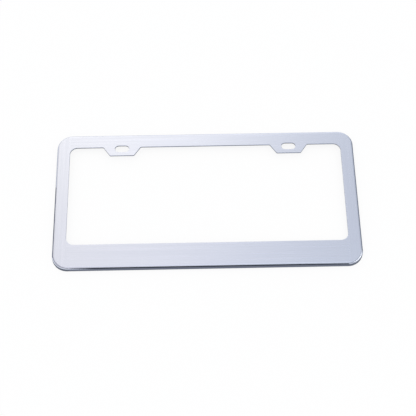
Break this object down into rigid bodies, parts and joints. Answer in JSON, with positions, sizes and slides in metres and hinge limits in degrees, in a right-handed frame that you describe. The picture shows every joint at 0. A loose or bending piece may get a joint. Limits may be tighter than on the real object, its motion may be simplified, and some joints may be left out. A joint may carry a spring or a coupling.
{
  "type": "number plate frame",
  "caption": "Rectangular number plate frame pressed from sheet steel, with a turned-down edge, a large window and tabs with screw slots along its top rail.",
  "frame": {"origin": "centre of the outline, on the plane of the flange's rim", "axes": "+X along the long side, towards the right-hand rail; +Y towards the top rail with its tabs; +Z out of the face, towards the viewer"},
  "size_m": [0.316, 0.16, 0.006],
  "materials": {
    "stainless_sheet": "fine brushed stainless steel, brushed along the rails"
  },
  "bodies": {
    "root": {"plate_frame": "stainless_sheet"}
  },
  "joints": []
}
